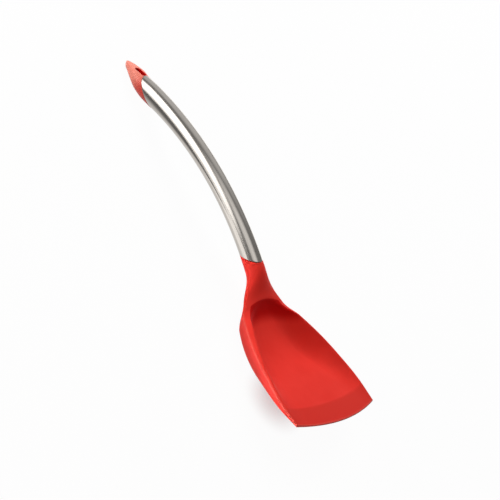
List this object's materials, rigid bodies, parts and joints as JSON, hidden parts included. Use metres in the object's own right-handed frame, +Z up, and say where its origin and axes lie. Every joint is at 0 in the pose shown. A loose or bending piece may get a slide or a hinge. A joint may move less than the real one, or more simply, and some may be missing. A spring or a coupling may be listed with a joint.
{
  "type": "silicone wok turner",
  "caption": "Scoop-shaped silicone turner head with raised side walls on a curved oval steel handle, ending in a pointed silicone tail cap with a hang slot.",
  "frame": {"origin": "middle of the underside of the bounding box, on the worktop the tool lies on", "axes": "+X along the tool towards the front edge of the blade, +Z up, +Y to the left of the handle; the tool lies on its heel and its tail cap"},
  "size_m": [0.314, 0.0896, 0.0327],
  "materials": {
    "red_silicone": "soft satin moulded silicone",
    "satin_steel": "brushed along the tube",
    "grey_nylon": "moulded, not seen from outside"
  },
  "bodies": {
    "root": {"silicone_head": "red_silicone", "head_core": "grey_nylon", "handle_tube": "satin_steel", "tail_plug": "grey_nylon", "tail_cap": "red_silicone"}
  },
  "joints": []
}
